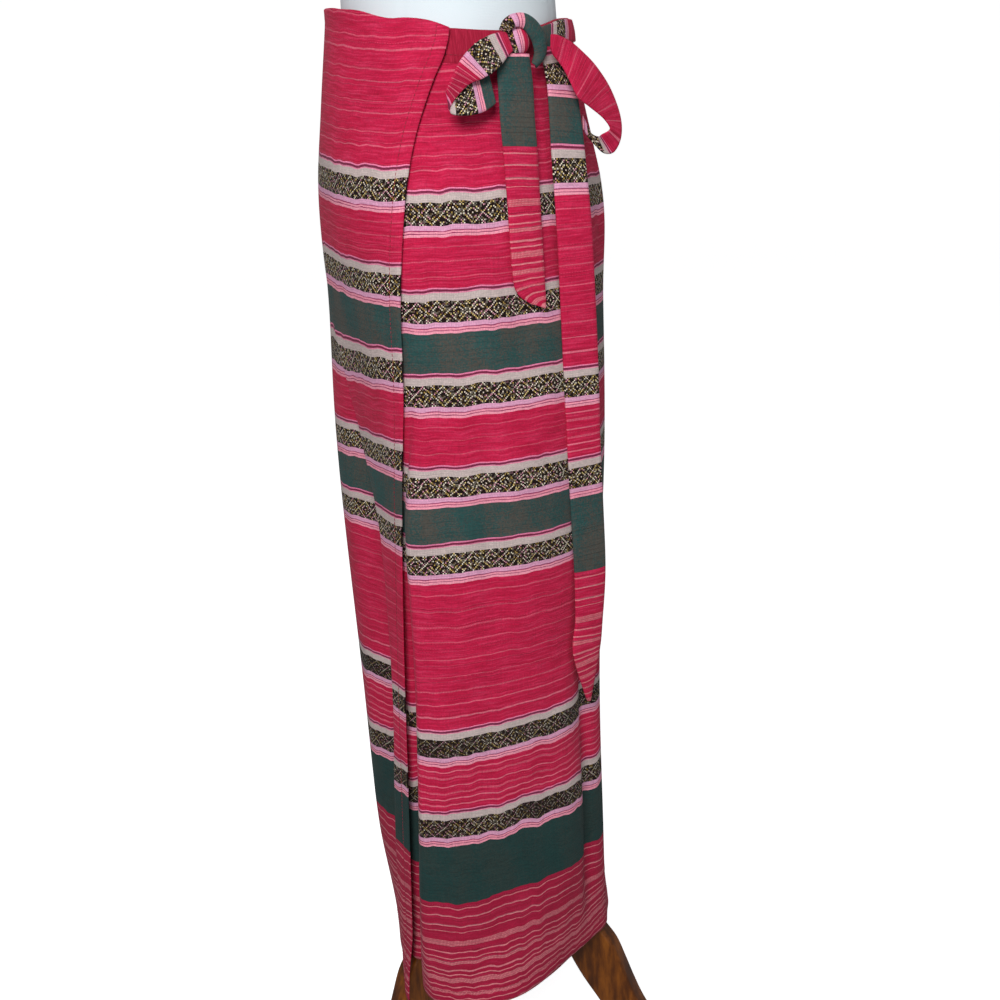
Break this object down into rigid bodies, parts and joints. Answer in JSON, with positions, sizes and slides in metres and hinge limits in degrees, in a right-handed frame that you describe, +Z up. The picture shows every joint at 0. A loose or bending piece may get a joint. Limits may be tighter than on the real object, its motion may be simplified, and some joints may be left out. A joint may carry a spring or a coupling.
{
  "type": "wrap skirt on a dress form stand",
  "caption": "Long banded wrap skirt with a slit and a tied bow at the waist, worn on a limbless dress form with a wooden tripod stand.",
  "frame": {"origin": "centre of the bottom of the whole box, on the floor under the stand's feet", "axes": "+Z up, the form faces -Y, the wearer's right side is -X"},
  "size_m": [0.3916, 0.3622, 1.648],
  "materials": {
    "cloth_red": "handwoven cotton, matt with a soft sheen",
    "cloth_tie": "handwoven cotton, matt",
    "jersey": "smooth pale jersey over the form",
    "wood_dark": "dark varnish, glossy",
    "steel": "satin"
  },
  "bodies": {
    "root": {"front_panel": "cloth_red", "outer_panel": "cloth_red", "waistband": "cloth_red", "tie_waist": "cloth_tie", "knot_core": "cloth_red", "knot_wrap": "cloth_tie", "loop_small": "cloth_red", "loop_large": "cloth_red", "tail_short": "cloth_tie", "tail_long": "cloth_red", "form_torso": "jersey", "neck_cap": "wood_dark", "form_plate": "wood_dark", "pole": "steel", "collar": "steel", "hub": "wood_dark", "leg_1": "wood_dark", "leg_2": "wood_dark", "leg_3": "wood_dark"}
  },
  "joints": []
}
